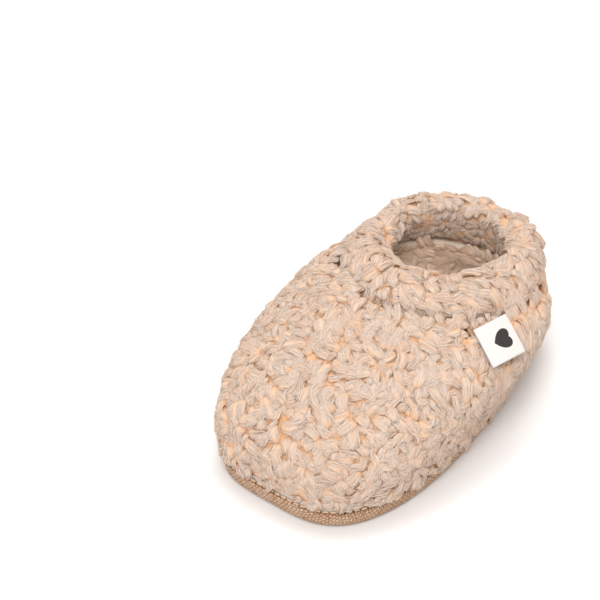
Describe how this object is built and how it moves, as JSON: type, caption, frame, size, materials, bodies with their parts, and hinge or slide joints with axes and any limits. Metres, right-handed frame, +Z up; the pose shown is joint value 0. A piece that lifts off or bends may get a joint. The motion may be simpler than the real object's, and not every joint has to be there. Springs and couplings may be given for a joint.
{
  "type": "baby bootie",
  "caption": "Soft teddy-fleece baby bootie with a rolled elastic ankle cuff, a padded woven canvas sole and a small side label.",
  "frame": {"origin": "on the ground, under the middle of the bootie's box", "axes": "+Z up, toe towards -Y, heel towards +Y, outer side with the label towards +X"},
  "size_m": [0.0794, 0.1254, 0.0533],
  "materials": {
    "fleece": "curly teddy fleece, cream with a warm peach ground",
    "soft_lining": "short soft fleece pile",
    "canvas": "coarse tan hopsack canvas",
    "insole_jersey": "smooth brushed jersey",
    "padding": "soft polyester wadding",
    "thread": "spun polyester sewing thread",
    "elastic": "braided elastic",
    "label_tape": "folded cotton tape with a printed motif"
  },
  "bodies": {
    "bootie": {"outsole_canvas": "canvas", "sole_padding": "padding", "insole_lining": "insole_jersey", "vamp_fleece": "fleece", "vamp_lining": "soft_lining", "heel_fleece": "fleece", "heel_lining": "soft_lining", "ankle_cuff": "fleece", "cuff_elastic": "elastic", "sole_seam_thread": "thread", "cuff_seam_thread": "thread", "outer_side_seam_thread": "thread", "inner_side_seam_thread": "thread", "label_stitch": "thread"},
    "label": {"side_label": "label_tape"}
  },
  "joints": [
    {"name": "label_fold", "type": "hinge", "parent": "bootie", "child": "label", "pos_m": [0.03201, -0.00072, 0.04091], "axis": [0.7271, -0.1487, -0.6702], "range_deg": [0, 150], "stiffness_Nm_per_rad": 0.00004}
  ]
}
